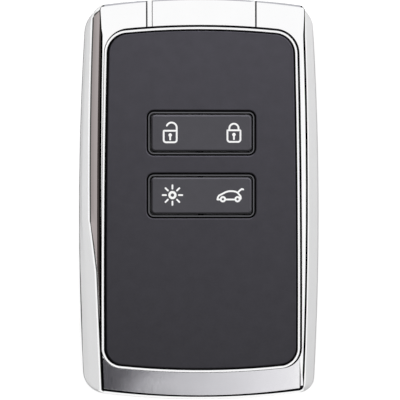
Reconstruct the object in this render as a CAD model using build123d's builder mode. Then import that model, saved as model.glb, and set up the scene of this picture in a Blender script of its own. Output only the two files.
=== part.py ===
from build123d import *

import os
from math import asin, cos, degrees, radians, sin, sqrt, tan

# Car key fob in its own frame, in millimetres. It lies on its back: X runs across it, Y along it
# with the emergency key at +Y, and Z up through the button panel. The origin is the centre of the
# back face.

# Body outline, seen from the front
body_length = 82.0
body_width = 49.2
head_narrowing = 1.4
foot_narrowing = 1.05
end_radius = 160.0
waist_y = -3.0
head_corner_radius = 4.5
foot_corner_radius = 3.2

# Shell walls and the bright frame's bands; the body's height follows from what is stacked in it
floor_thickness = 1.2
back_edge_radius = 2.4
parting_above_cell = 0.05
bezel_stand = 0.2
end_band_height = 1.9
right_edge_height = 0.187
right_band_height = 0.33
left_line_height = 0.06
left_step_height = 0.235
left_facet_height = 0.88
left_edge_height = 0.257
left_band_height = 0.36
flank_height = 2.7
end_edge_height = 0.11
end_edge_angle = 65.0
end_edge_lead = 0.5

# How far the bright frame is drawn in from the outline at each of its creases
belly_inset = 0.38
right_crease_inset = 2.5
right_edge_inset = 2.8
right_rim_inset = 3.2
left_band_inset = 1.5
left_edge_inset = 1.8
left_crease_inset = 2.08
left_step_inset = 3.27
left_line_inset = 3.85
left_rim_inset = 4.14
left_crease_narrowing = 0.68
left_step_narrowing = 0.6
left_rim_narrowing = 0.4
right_rim_narrowing = 0.8
foot_belly_inset = 0.08
foot_crease_inset = 0.2
foot_rim_inset = 0.8
belly_head_radius = 4.3
belly_foot_radius = 3.0
crease_head_radius = 3.0
crease_foot_radius = 2.4
rim_head_radius = 1.0
rim_foot_radius = 1.2
left_corner_extra = 1.4

# Facet on the left flank, from its kink down to where it meets the rim
facet_kink_y = -3.6
facet_end_y = -14.8
facet_end_inset = 3.38
facet_belly_inset = 1.15
facet_foot_inset = 4.7
facet_foot_drop = 0.4
facet_foot_belly_inset = 2.0
facet_foot_widest_inset = 1.05
facet_end_widest_inset = 0.15
facet_cut_clear = 0.03

# Slopes of the forehead and the chin
forehead_slope = 2.5
forehead_start_y = 33.5
chin_slope = 3.0
chin_start_y = -32.4
chin_right_x = 20.15
chin_edge_length = 3.4
chin_edge_angle = 45.0
chin_cut_height = 2.0

# Button panel, the bright ring round it and the two button windows
panel_side_margin = 5.2
panel_head_margin = 6.55
panel_foot_margin = 6.4
panel_narrowing = 0.6
panel_head_radius = 4.0
panel_foot_radius = 3.4
panel_thickness = 1.35
panel_below_rim = 0.25
panel_edge_round = 0.25
panel_gap = 0.28
bezel_gap = 0.4
bezel_seat_gap = 0.04
bezel_width = 0.5
bezel_left_shift = 0.2
bezel_round = 0.08
window_width = 22.4
window_height = 9.3
window_corner_radius = 1.5
window_gap = 0.37
collar_width = 0.22
collar_corner_radius = 0.9
upper_button_y = 13.55
lower_button_y = 0.75

# Rocker pads and their axles
pad_gap = 0.36
pad_corner_radius = 0.8
pad_stand = 0.15
pad_depth = 1.95
pad_bevel = 0.3
axle_radius = 0.5
axle_clearance = 0.05
axle_length = 9.4
axle_below_pad = 0.35
rib_below_axle = 0.6
rib_half_width = 1.1
button_reach = 6.3
nub_radius = 1.2
nub_height = 0.7
nub_gap = 0.05

# Cavity inside the shells
frame_wall = 2.8
head_wall = 5.1
foot_wall = 2.8
cavity_head_radius = 3.0
cavity_foot_radius = 2.5
tongue_thickness = 0.9
tongue_height = 1.0
fit_gap = 0.15

# Inner plate under the panel
guide_flange = 0.95
ledge_gap = 0.05
guide_web = 1.0
guide_rim = 1.0
guide_skirt = 1.0
guide_skirt_gap = 0.35
block_width = 30.0
block_length = 29.4

# Board, switches and the silicone mat
board_thickness = 0.8
switch_width = 4.2
switch_depth = 3.6
switch_height = 1.5
plunger_radius = 1.0
plunger_clearance = 0.05
plunger_stand = 0.55
plunger_depth = 0.4
plunger_round = 0.2
switch_chamfer = 0.3
switch_travel = 0.25
mat_gap = 0.1
mat_thickness = 0.35
mat_width = 26.0
mat_length = 25.0
mat_wall = 1.0
mat_corner_radius = 2.0
post_radius = 1.5
post_height = 0.7
post_round = 0.2

# Screws that hold the board to the chassis
boss_margin = 8.1
boss_below_mat = 3.25
boss_radius = 2.0
screw_radius = 0.7
screw_length = 2.6
screw_head_radius = 1.5
screw_head_height = 0.8
screw_slot = 0.3

# Chips beside the antenna: place from its centre, footprint and height of each
board_blocks = {
    "controller_chip": (-10.5, 1.0, 7.0, 7.0, 1.0),
    "radio_chip": (9.5, 2.5, 5.0, 5.0, 0.9),
    "crystal": (9.5, -3.0, 3.2, 2.5, 0.8),
}
chip_chamfer = 0.25
chip_dimple_radius = 0.25
chip_dimple_depth = 0.1
passive_length = 1.2
passive_width = 0.6
passive_height = 0.5
passive_pitch = 1.6
passive_row_x = 8.0
passive_row_drop = 2.0
passive_column_x = 9.0

# Antenna and coil
antenna_foot_margin = 15.5
antenna_side = 11.0
antenna_height = 2.8
antenna_lip = 0.5
antenna_waist = 0.6
antenna_corner_radius = 1.5
coil_head_margin = 9.5
coil_length = 12.0
coil_height = 2.6
coil_waist = 0.4
cheek_length = 1.2

# Coin cell, its bay and its contacts
cell_radius = 10.0
cell_thickness = 3.2
cell_cap_radius = 8.9
cell_cap_height = 0.35
cell_edge_round = 0.3
cell_gap = 0.15
cell_foot_margin = 19.5
bay_clearance = 0.25
bay_wall = 1.05
contact_thickness = 0.15
contact_width = 4.0
side_contact_foot = 0.85
face_contact_foot = 5.5
face_contact_bend = 2.3
chassis_wall = 1.0
deck_thickness = 0.45

# Battery cover
cover_half_width = 10.6
cover_tongue = 0.8
cover_step_z = 0.65
cover_gap = 0.1
cover_past_cell = 2.1
rail_width = 1.7
rail_height = 0.65
rail_setback = 0.3
thumb_groove_pitch = 1.6
thumb_groove_depth = 0.35

# Emergency key
key_head_width = 22.1
key_seam_gap = 0.15
key_shoulder_width = 1.05
key_shoulder_depth = 0.12
key_step_width = 0.1
bridge_thickness = 1.2
bridge_drop = 1.4
carrier_width = 12.0
carrier_length = 17.1
carrier_above_floor = 0.55
carrier_below_deck = 0.15
carrier_head_margin = 1.9
blade_width = 6.6
blade_thickness = 2.0
blade_socket = 12.0
blade_past_cell = 1.8
pin_radius = 0.75
pin_inset = 1.2
pin_foot_z = 0.6
pin_past_carrier = 0.8
pin_chamfer = 0.15
carrier_lead = 1.2
blade_point = 2.0
track_setback = 3.0
track_points_count = 7
track_depth = 0.5
track_width = 1.6
track_swing = 1.1
track_pitch = 7.0
press_gap = 0.02
key_clearance = 0.25
channel_wall = 1.0

# Release slider on the back and its spring
slider_width = 9.0
slider_depth = 5.0
slider_travel = 1.5
slider_from_tip = 4.0
slider_sink = 0.25
slider_corner_radius = 1.0
slider_flange = 1.4
slider_flange_thickness = 0.35
tab_width = 0.6
spring_thickness = 0.25
spring_height = 1.8
spring_from_carrier = 2.75
spring_length = 15.3
hook_from_tip = 7.9
hook_depth = 0.75
anchor_length = 2.0
anchor_block = 1.0

# How far a cut runs on past the form it cuts
past = 4.0

# Places and heights that follow from the sizes above
half_length = body_length / 2
half_width = body_width / 2
panel_width = body_width - 2 * panel_side_margin
panel_head_y = half_length - panel_head_margin
panel_foot_y = panel_foot_margin - half_length
cell_z = floor_thickness + cell_gap
deck_z = cell_z + cell_thickness
board_z = deck_z + deck_thickness
board_top_z = board_z + board_thickness
switch_top_z = board_top_z + switch_height
plunger_top_z = switch_top_z + plunger_stand
mat_z = plunger_top_z + mat_gap
mat_top_z = mat_z + mat_thickness
post_top_z = mat_top_z + post_height
pad_bottom_z = post_top_z + nub_gap + nub_height
pad_top_z = pad_bottom_z + pad_depth
panel_top_z = pad_top_z - pad_stand
rim_z = panel_top_z + panel_below_rim
right_edge_z = rim_z - right_edge_height
left_line_z = rim_z - left_line_height
step_z = left_line_z - left_step_height
left_crease_z = step_z - left_facet_height
left_edge_z = left_crease_z - left_edge_height
left_band_z = left_edge_z - left_band_height
right_crease_z = right_edge_z - right_band_height
end_crease_z = rim_z - end_band_height
belly_z = end_crease_z - flank_height
body_height = rim_z + bezel_stand
parting_z = deck_z + parting_above_cell
plateau_z = panel_top_z - panel_thickness
bezel_reach = panel_gap + bezel_width
opening_reach = bezel_reach + bezel_gap
opening_shift = bezel_seat_gap - bezel_gap
collar_outer_width = window_width - 2 * window_gap
collar_outer_height = window_height - 2 * window_gap
collar_inner_width = collar_outer_width - 2 * collar_width
collar_inner_height = collar_outer_height - 2 * collar_width
collar_top_z = panel_top_z - pad_stand / 2
pad_width = collar_inner_width - 2 * pad_gap
pad_height = collar_inner_height - 2 * pad_gap
axle_z = pad_bottom_z - axle_below_pad
rocker_tilt = degrees(asin(switch_travel / button_reach))
bay_radius = cell_radius + bay_clearance
chassis_z = floor_thickness + rail_height + cover_gap / 2
cavity_head_y = half_length - head_wall
cell_y = cell_foot_margin - half_length
cover_head_y = cell_y + cell_radius + cover_past_cell
antenna_y = antenna_foot_margin - half_length
coil_y = half_length - coil_head_margin
boss_x = half_width - boss_margin
bridge_top_z = rim_z - bridge_drop
foot_edge_z = rim_z - (half_length + chin_start_y) * tan(radians(chin_slope)) - end_edge_height
head_edge_z = rim_z - (half_length - forehead_start_y) * tan(radians(forehead_slope)) - end_edge_height
carrier_root_y = half_length - carrier_head_margin
carrier_tip_y = carrier_root_y - carrier_length
carrier_z = floor_thickness + carrier_above_floor
carrier_thickness = deck_z - carrier_below_deck - carrier_z
blade_root_y = carrier_tip_y + blade_socket
blade_tip_y = cell_y + bay_radius + bay_wall + blade_past_cell
pin_y = carrier_root_y - pin_inset
slider_y = carrier_tip_y + slider_from_tip
hook_y = carrier_tip_y + hook_from_tip
spring_x = -carrier_width / 2 - spring_from_carrier
spring_foot_y = hook_y - spring_length
opening_head_y = panel_head_y + opening_reach
bridge_outer_y = opening_head_y + bridge_thickness
notch_half_width = key_head_width / 2 + key_seam_gap
button_rows = (upper_button_y, lower_button_y)
mat_y = (upper_button_y + lower_button_y) / 2
mat_foot_y = mat_y - mat_length / 2
boss_y = mat_foot_y - boss_below_mat
guide_floor_z = switch_top_z + mat_gap
guide_flange_z = guide_floor_z + guide_flange
frame_ledge_z = guide_flange_z + ledge_gap
board_inset = fit_gap + tongue_thickness + fit_gap
key_slot_half_width = carrier_width / 2 + key_clearance
anchor_x = spring_x - anchor_length * 0.8
hook_gap = 2 * fit_gap + spring_thickness
hook_tip_x = -carrier_width / 2 + hook_depth
slider_slot_length = slider_width + slider_travel + 2 * cover_gap
groove_half_width = cover_half_width + cover_tongue + cover_gap
cover_slot_z = floor_thickness + cover_gap / 2
rail_centre_x = cover_half_width + rail_setback + rail_width / 2
rail_foot_y = -half_length + foot_wall
cover_reach = half_length + cover_head_y + past
head_inner_y = bridge_outer_y + key_seam_gap
head_step_z = bridge_top_z + key_seam_gap
pin_top_z = carrier_z + carrier_thickness + pin_past_carrier
blade_z = carrier_z + (carrier_thickness - blade_thickness) / 2
wall_height = board_z - chassis_z
blade_wall_x = blade_width / 2 + key_clearance + channel_wall / 2
carrier_wall_x = key_slot_half_width + channel_wall / 2
tab_x = spring_x + spring_thickness / 2 + fit_gap + tab_width / 2
tab_top_z = chassis_z + spring_height
plunger_foot_z = switch_top_z - plunger_depth
contact_x = cell_radius + (fit_gap + contact_thickness) / 2
contact_z = board_z - contact_thickness / 2
switch_places = {
    "unlock": (-button_reach, upper_button_y),
    "lock": (button_reach, upper_button_y),
    "lamp": (-button_reach, lower_button_y),
    "tailgate": (button_reach, lower_button_y),
}

print(f"each rocker pad tilts {rocker_tilt:.2f} degrees either way")

os.makedirs("parts", exist_ok=True)


def side(waist, head_drop, foot_drop):
    """Half widths of one side at the head corner, the waist and the foot corner."""
    return (waist - head_drop, waist, waist - foot_drop)


def end_bow(half):
    """How far an end arc falls back over a half width."""
    return end_radius - sqrt(end_radius**2 - half**2)


def outline(left, right, head_y, foot_y, head_radius, foot_radius, left_extra=0):
    """Closed outline of four bowed sides, its left corners rounded by left_extra more, on XY."""
    head_left = (-left[0], head_y - end_bow(left[0]))
    head_right = (right[0], head_y - end_bow(right[0]))
    foot_left = (-left[2], foot_y + end_bow(left[2]))
    foot_right = (right[2], foot_y + end_bow(right[2]))
    with BuildSketch() as shape:
        with BuildLine():
            ThreePointArc(head_left, (0, head_y), head_right)
            ThreePointArc(head_right, (right[1], waist_y), foot_right)
            ThreePointArc(foot_right, (0, foot_y), foot_left)
            ThreePointArc(foot_left, (-left[1], waist_y), head_left)
        make_face()
        fillet(shape.vertices().sort_by_distance(head_right)[0], head_radius)
        fillet(shape.vertices().sort_by_distance(foot_right)[0], foot_radius)
        fillet(shape.vertices().sort_by_distance(head_left)[0], head_radius + left_extra)
        fillet(shape.vertices().sort_by_distance(foot_left)[0], foot_radius + left_extra)
    return shape.sketch


def panel_outline(grow, left_more=0, foot_more=0):
    """The button panel's edge, grown evenly, and by a little more on its left and at its foot."""
    left = side(panel_width / 2 + grow + left_more, panel_narrowing, 0)
    right = side(panel_width / 2 + grow, panel_narrowing, 0)
    foot_grow = grow + foot_more
    return outline(
        left,
        right,
        panel_head_y + grow,
        panel_foot_y - foot_grow,
        panel_head_radius + grow,
        panel_foot_radius + foot_grow,
    )


def cavity_outline(shrink):
    """The hollow inside both shells, shrunk evenly."""
    wall = side(half_width - frame_wall - shrink, head_narrowing, foot_narrowing)
    foot_y = foot_wall + shrink - half_length
    head_y = cavity_head_y - shrink
    return outline(wall, wall, head_y, foot_y, cavity_head_radius, cavity_foot_radius)


def along(corners, z):
    """The value at height z on straight lines through corners of (height, value)."""
    for (low_z, low), (high_z, high) in zip(corners, corners[1:]):
        if z <= high_z:
            break
    return low + (high - low) * (z - low_z) / (high_z - low_z)


def sloping_plane(start_y, slope):
    """A plane that leaves the rim at start_y and falls away by slope degrees towards that end."""
    lean = radians(slope) if start_y > 0 else -radians(slope)
    return Plane(origin=(0, start_y, rim_z), x_dir=(1, 0, 0), z_dir=(0, sin(lean), cos(lean)))


forehead = sloping_plane(forehead_start_y, forehead_slope)

# Where each side, the foot and the corners of the bright frame lie at each crease, by height
right_insets = (
    (parting_z, 0),
    (belly_z, belly_inset),
    (right_crease_z, right_crease_inset),
    (right_edge_z, right_edge_inset),
    (rim_z, right_rim_inset),
)
left_insets = (
    (parting_z, 0),
    (belly_z, belly_inset),
    (left_band_z, left_band_inset),
    (left_edge_z, left_edge_inset),
    (left_crease_z, left_crease_inset),
    (step_z, left_step_inset),
    (left_line_z, left_line_inset),
    (rim_z, left_rim_inset),
)
foot_insets = (
    (parting_z, 0),
    (belly_z, foot_belly_inset),
    (end_crease_z, foot_crease_inset),
    (rim_z, foot_rim_inset),
)
head_radii = (
    (parting_z, head_corner_radius),
    (belly_z, belly_head_radius),
    (end_crease_z, crease_head_radius),
    (rim_z, rim_head_radius),
)
foot_radii = (
    (parting_z, foot_corner_radius),
    (belly_z, belly_foot_radius),
    (end_crease_z, crease_foot_radius),
    (rim_z, rim_foot_radius),
)
left_extras = (
    (parting_z, left_corner_extra),
    (belly_z, left_corner_extra),
    (rim_z, 0),
)


# How much narrower than its waist each side is at its head and foot corners, by height
left_head_drops = (
    (parting_z, head_narrowing),
    (belly_z, head_narrowing),
    (left_band_z, left_crease_narrowing),
    (left_crease_z, left_crease_narrowing),
    (step_z, left_step_narrowing),
    (rim_z, left_rim_narrowing),
)
left_foot_drops = (
    (parting_z, foot_narrowing),
    (left_crease_z, foot_narrowing),
    (step_z, left_rim_narrowing),
    (rim_z, left_rim_narrowing),
)
right_head_drops = (
    (parting_z, head_narrowing),
    (belly_z, head_narrowing),
    (right_crease_z, right_rim_narrowing),
    (rim_z, right_rim_narrowing),
)
right_foot_drops = (
    (parting_z, foot_narrowing),
    (belly_z, foot_narrowing),
    (right_crease_z, right_rim_narrowing),
    (rim_z, right_rim_narrowing),
)


def frame_section(z):
    """The bright frame's outline at height z."""
    left = side(
        half_width - along(left_insets, z), along(left_head_drops, z), along(left_foot_drops, z)
    )
    right = side(
        half_width - along(right_insets, z), along(right_head_drops, z), along(right_foot_drops, z)
    )
    return outline(
        left,
        right,
        half_length,
        along(foot_insets, z) - half_length,
        along(head_radii, z),
        along(foot_radii, z),
        along(left_extras, z),
    )


# Outer form of the back shell, from the back face to the parting line
with BuildPart() as back_form:
    with BuildSketch():
        add(frame_section(parting_z))
    extrude(amount=parting_z)
    fillet(back_form.faces().sort_by(Axis.Z)[0].edges(), back_edge_radius)

# Outer form of the bright frame: a rounded belly and, above it, narrow sloping bands along each side
# with a broader facet on the left
with BuildPart() as front_form:
    for section_z in sorted({z for z, inset in left_insets + right_insets + foot_insets}):
        with BuildSketch(Plane.XY.offset(section_z)):
            add(frame_section(section_z))
    loft(ruled=True)
    # The forehead falls away towards the head and the chin towards the foot, where a narrow strip
    # down the right edge stands a little higher
    with BuildSketch(forehead):
        Rectangle(body_width, half_length, align=(Align.CENTER, Align.MIN))
    extrude(amount=body_height, mode=Mode.SUBTRACT)
    with BuildSketch(sloping_plane(chin_start_y, chin_slope)):
        with Locations((chin_right_x, 0)):
            Rectangle(body_width, half_length, align=(Align.MAX, Align.MAX))
    extrude(amount=chin_cut_height, taper=-chin_edge_angle, mode=Mode.SUBTRACT)
    with BuildSketch(sloping_plane(chin_start_y - chin_edge_length, chin_slope)):
        Rectangle(body_width, half_length, align=(Align.CENTER, Align.MAX))
    extrude(amount=body_height, mode=Mode.SUBTRACT)
    # Narrow sloping edges where the chin meets the foot and the forehead meets the head
    edge_out = end_edge_lead * tan(radians(end_edge_angle))
    end_edges = ((-1, foot_edge_z, along(foot_insets, foot_edge_z)), (1, head_edge_z, 0))
    for end_side, edge_z, end_inset in end_edges:
        with BuildSketch(Plane.XY.offset(edge_z - end_edge_lead)):
            with Locations((0, end_side * half_length)):
                Rectangle(body_width, 2 * past)
            with Locations((0, end_side * (half_length - end_inset + edge_out - end_radius))):
                Circle(end_radius, mode=Mode.SUBTRACT)
        extrude(amount=chin_cut_height, taper=-end_edge_angle, mode=Mode.SUBTRACT)

# The cut that ends the left facet: its inner edge starts on the flank at the kink and reaches the
# rim at the facet's end, so below the kink the belly runs up to the rim
band_width = left_crease_inset - left_band_inset
edge_width = left_crease_inset - left_edge_inset
kink_cut = [inset - facet_cut_clear for inset in (0, belly_inset, left_crease_inset)]
end_cut = [facet_end_widest_inset, facet_belly_inset, facet_end_inset]
foot_cut = [facet_foot_widest_inset, facet_foot_belly_inset, facet_foot_inset]
facet_cut_sections = (
    (facet_kink_y, kink_cut, left_crease_z),
    (facet_end_y, end_cut, step_z),
    (-half_length - past, foot_cut, step_z - facet_foot_drop),
)
with BuildPart() as facet_cut:
    for cut_y, (foot_inset, middle_inset, top_inset), top_z in facet_cut_sections:
        with BuildSketch(Plane.XZ.offset(-cut_y)):
            Polygon(
                (foot_inset - half_width, parting_z),
                (middle_inset - half_width, belly_z),
                (top_inset - band_width - half_width, top_z - left_edge_height - left_band_height),
                (top_inset - edge_width - half_width, top_z - left_edge_height),
                (top_inset - half_width, top_z),
                (top_inset - half_width, body_height),
                (-half_width - past, body_height),
                (-half_width - past, parting_z),
                align=None,
            )
    loft(ruled=True)

# Bright frame with its cavity, the opening for panel and ring, and the notch for the key's head
with BuildPart() as chrome_frame:
    add(front_form.part)
    add(facet_cut.part, mode=Mode.SUBTRACT)
    with BuildSketch(Plane.XY.offset(parting_z)):
        add(cavity_outline(0))
    extrude(amount=frame_ledge_z - parting_z, mode=Mode.SUBTRACT)
    with BuildSketch(Plane.XY.offset(frame_ledge_z)):
        add(panel_outline(opening_reach, bezel_left_shift + opening_shift, opening_shift))
    extrude(amount=body_height, mode=Mode.SUBTRACT)
    with BuildSketch(Plane.XY.offset(parting_z)):
        with Locations((0, bridge_outer_y)):
            Rectangle(2 * notch_half_width, half_length, align=(Align.CENTER, Align.MIN))
    extrude(amount=body_height, mode=Mode.SUBTRACT)
    with BuildSketch(Plane.XY.offset(bridge_top_z)):
        with Locations((0, opening_head_y - past)):
            Rectangle(2 * notch_half_width, half_length, align=(Align.CENTER, Align.MIN))
    extrude(amount=body_height, mode=Mode.SUBTRACT)
chrome_frame.part.label = "chrome_frame"
export_step(chrome_frame.part, "parts/chrome_frame.step")

# Thin bright ring that stands a little proud round the panel, set against the frame on the left and
# at the foot
with BuildPart() as panel_bezel:
    with BuildSketch(Plane.XY.offset(plateau_z)):
        add(panel_outline(bezel_reach, bezel_left_shift))
        add(panel_outline(panel_gap, bezel_left_shift), mode=Mode.SUBTRACT)
    extrude(amount=body_height - plateau_z)
    fillet(panel_bezel.faces().sort_by(Axis.Z)[-1].edges(), bezel_round)
panel_bezel.part.label = "panel_bezel"
export_step(panel_bezel.part, "parts/panel_bezel.step")

# Dark panel with its two button windows
with BuildPart() as front_panel:
    with BuildSketch(Plane.XY.offset(plateau_z)):
        add(panel_outline(0))
        with Locations(*[(0, row_y) for row_y in button_rows]):
            RectangleRounded(window_width, window_height, window_corner_radius, mode=Mode.SUBTRACT)
    extrude(amount=panel_thickness)
    fillet(front_panel.faces().sort_by(Axis.Z)[-1].edges(), panel_edge_round)
front_panel.part.label = "front_panel"
export_step(front_panel.part, "parts/front_panel.step")

# Inner plate under the panel: its plateau carries panel and ring, its two collars stand round the
# pads, and its underside is hollow beside the block that holds the axles
with BuildPart() as button_guide:
    with BuildSketch(Plane.XY.offset(guide_floor_z)):
        add(cavity_outline(fit_gap))
    extrude(amount=guide_flange_z - guide_floor_z)
    with BuildSketch(Plane.XY.offset(guide_flange_z)):
        add(panel_outline(bezel_reach, bezel_left_shift))
    extrude(amount=plateau_z - guide_flange_z)
    with BuildSketch(Plane.XY.offset(guide_floor_z)):
        add(panel_outline(-guide_rim))
        with Locations((0, mat_y)):
            Rectangle(block_width, block_length, mode=Mode.SUBTRACT)
    extrude(amount=plateau_z - guide_web - guide_floor_z, mode=Mode.SUBTRACT)
    with BuildSketch(Plane.XY.offset(plateau_z)):
        with Locations(*[(0, row_y) for row_y in button_rows]):
            RectangleRounded(collar_outer_width, collar_outer_height, window_corner_radius - window_gap)
    extrude(amount=collar_top_z - plateau_z)
    with BuildSketch(Plane.XY.offset(guide_floor_z)):
        with Locations(*[(0, row_y) for row_y in button_rows]):
            RectangleRounded(collar_inner_width, collar_inner_height, collar_corner_radius)
    extrude(amount=body_height, mode=Mode.SUBTRACT)
    with BuildSketch(Plane.XY.offset(guide_floor_z)):
        with Locations((0, mat_y)):
            RectangleRounded(mat_width + 2 * fit_gap, mat_length + 2 * fit_gap, mat_corner_radius)
    extrude(amount=mat_top_z - guide_floor_z, mode=Mode.SUBTRACT)
    # Bearings for the stub axles, blind in the walls beside each window
    for row_y in button_rows:
        with BuildSketch(Plane.XZ.offset(-row_y)):
            with Locations((0, axle_z)):
                Circle(axle_radius + axle_clearance)
        extrude(amount=axle_length / 2 + fit_gap, both=True, mode=Mode.SUBTRACT)
    # Skirt that stands on the board
    with BuildSketch(Plane.XY.offset(board_top_z)):
        add(cavity_outline(board_inset + guide_skirt_gap))
        add(cavity_outline(board_inset + guide_skirt_gap + guide_skirt), mode=Mode.SUBTRACT)
    extrude(amount=guide_floor_z - board_top_z)
button_guide.part.label = "button_guide"
export_step(button_guide.part, "parts/button_guide.step")


def make_pad(row_y):
    """One rocker pad with its stub axles, its centre rib and a nub over each switch."""
    with BuildPart() as pad:
        with BuildSketch(Plane.XY.offset(pad_bottom_z)):
            with Locations((0, row_y)):
                RectangleRounded(pad_width, pad_height, pad_corner_radius)
        extrude(amount=pad_depth)
        chamfer(pad.faces().sort_by(Axis.Z)[-1].edges(), pad_bevel)
        with BuildSketch(Plane.XY.offset(post_top_z + nub_gap)):
            with Locations((-button_reach, row_y), (button_reach, row_y)):
                Circle(nub_radius)
        extrude(amount=pad_bottom_z - post_top_z - nub_gap)
        with BuildSketch(Plane.XY.offset(axle_z - rib_below_axle)):
            with Locations((0, row_y)):
                Rectangle(2 * rib_half_width, pad_height)
        extrude(amount=axle_below_pad + rib_below_axle)
        with BuildSketch(Plane.XZ.offset(-row_y)):
            with Locations((0, axle_z)):
                Circle(axle_radius)
        extrude(amount=axle_length / 2, both=True)
    return pad.part


for pad_name, row_y in (("lock_rocker", upper_button_y), ("lamp_rocker", lower_button_y)):
    rocker = make_pad(row_y)
    rocker.label = pad_name
    export_step(rocker, f"parts/{pad_name}.step")

# Back shell: pocket, tongue, key slot, release slot and the rails of the battery cover
with BuildPart() as rear_casing:
    add(back_form.part)
    with BuildSketch(Plane.XY.offset(floor_thickness)):
        add(cavity_outline(fit_gap + tongue_thickness))
    extrude(amount=parting_z, mode=Mode.SUBTRACT)
    with BuildSketch(Plane.XY.offset(parting_z)):
        add(cavity_outline(fit_gap))
        add(cavity_outline(fit_gap + tongue_thickness), mode=Mode.SUBTRACT)
    extrude(amount=tongue_height)
    # Ledge under the chassis skirt and a post under each screw boss
    with BuildSketch(Plane.XY.offset(floor_thickness)):
        add(cavity_outline(fit_gap + tongue_thickness))
        add(cavity_outline(board_inset + chassis_wall), mode=Mode.SUBTRACT)
        with Locations((-boss_x, boss_y), (boss_x, boss_y)):
            Circle(boss_radius)
    extrude(amount=chassis_z - floor_thickness)
    with BuildSketch():
        with Locations((0, bridge_outer_y)):
            Rectangle(2 * notch_half_width, half_length, align=(Align.CENTER, Align.MIN))
    extrude(amount=body_height, mode=Mode.SUBTRACT)
    with BuildSketch(Plane.XY.offset(carrier_z - key_clearance / 2)):
        with Locations((0, bridge_outer_y)):
            Rectangle(2 * key_slot_half_width, 2 * past)
    extrude(amount=carrier_thickness + key_clearance, mode=Mode.SUBTRACT)
    # Straight slot for the release slider, closed by rounded corners
    with BuildSketch():
        with Locations((-slider_travel / 2, slider_y)):
            RectangleRounded(
                slider_slot_length, slider_depth + 2 * cover_gap, slider_corner_radius
            )
    extrude(amount=floor_thickness, mode=Mode.SUBTRACT)
    # Rails first, then the slot and the groove that the cover's tongues run in
    with BuildSketch(Plane.XY.offset(cover_step_z)):
        with Locations((-rail_centre_x, cover_head_y), (rail_centre_x, cover_head_y)):
            Rectangle(rail_width, cover_head_y - rail_foot_y, align=(Align.CENTER, Align.MAX))
    extrude(amount=floor_thickness + rail_height - cover_step_z)
    with BuildSketch():
        with Locations((0, cover_head_y)):
            Rectangle(2 * (cover_half_width + cover_gap), cover_reach, align=(Align.CENTER, Align.MAX))
    extrude(amount=cover_slot_z, mode=Mode.SUBTRACT)
    with BuildSketch(Plane.XY.offset(cover_step_z - cover_gap / 2)):
        with Locations((0, cover_head_y)):
            Rectangle(2 * groove_half_width, cover_reach, align=(Align.CENTER, Align.MAX))
    extrude(amount=cover_slot_z - cover_step_z + cover_gap / 2, mode=Mode.SUBTRACT)
rear_casing.part.label = "rear_casing"
export_step(rear_casing.part, "parts/rear_casing.step")

# Battery cover: a stepped plate whose end is the casing's own outer form, with thumb grooves
with BuildPart() as battery_cover:
    add(back_form.part)
    with BuildSketch():
        with Locations((0, cover_head_y - cover_gap)):
            Rectangle(2 * (cover_half_width + cover_tongue), cover_reach, align=(Align.CENTER, Align.MAX))
    extrude(amount=floor_thickness, mode=Mode.INTERSECT)
    with BuildSketch():
        Rectangle(body_width, body_length)
        Rectangle(2 * cover_half_width, body_length, mode=Mode.SUBTRACT)
    extrude(amount=cover_step_z, mode=Mode.SUBTRACT)
    with BuildSketch():
        with Locations((0, cell_y - cell_radius)):
            with GridLocations(0, thumb_groove_pitch, 1, 4):
                SlotOverall(cell_radius, thumb_groove_pitch / 2)
    extrude(amount=thumb_groove_depth, mode=Mode.SUBTRACT)
battery_cover.part.label = "battery_cover"
export_step(battery_cover.part, "parts/battery_cover.step")

# Grip of the emergency key: the middle of the head end over the full thickness, stepped over the
# bridge, with its socket for the carrier and a bore for the cross pin
with BuildPart() as key_head:
    add(back_form.part)
    add(front_form.part)
    with BuildSketch():
        with Locations((0, opening_head_y - past)):
            Rectangle(key_head_width, half_length, align=(Align.CENTER, Align.MIN))
    extrude(amount=body_height, mode=Mode.INTERSECT)
    with BuildSketch():
        with Locations((0, head_inner_y)):
            Rectangle(body_width, half_length, align=(Align.CENTER, Align.MAX))
    extrude(amount=head_step_z, mode=Mode.SUBTRACT)
    with BuildSketch(Plane.XY.offset(head_step_z)):
        add(panel_outline(opening_reach))
    extrude(amount=body_height, mode=Mode.SUBTRACT)
    # Shoulders down both seam edges of the face: a short step on the left, a long ramp on the right
    with BuildSketch(Plane(origin=forehead.origin, x_dir=(1, 0, 0), z_dir=forehead.y_dir)):
        for edge_side, ramp in ((-1, key_step_width), (1, key_shoulder_width)):
            edge_x = edge_side * key_head_width / 2
            Polygon(
                (edge_x, key_shoulder_depth),
                (edge_x - edge_side * (key_shoulder_width - ramp), key_shoulder_depth),
                (edge_x - edge_side * key_shoulder_width, 0),
                (edge_x - edge_side * key_shoulder_width, -past),
                (edge_x + edge_side * past, -past),
                (edge_x + edge_side * past, key_shoulder_depth),
                align=None,
            )
    extrude(amount=half_length, mode=Mode.SUBTRACT)
    with BuildSketch(Plane.XY.offset(carrier_z - press_gap)):
        with Locations((0, head_inner_y)):
            Rectangle(
                carrier_width + 2 * press_gap,
                2 * (carrier_root_y + press_gap - head_inner_y),
            )
    extrude(amount=carrier_thickness + 2 * press_gap, mode=Mode.SUBTRACT)
    with BuildSketch():
        with Locations((0, pin_y)):
            Circle(pin_radius + press_gap)
    extrude(amount=pin_top_z + press_gap, mode=Mode.SUBTRACT)
key_head.part.label = "key_head"
export_step(key_head.part, "parts/key_head.step")

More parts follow.
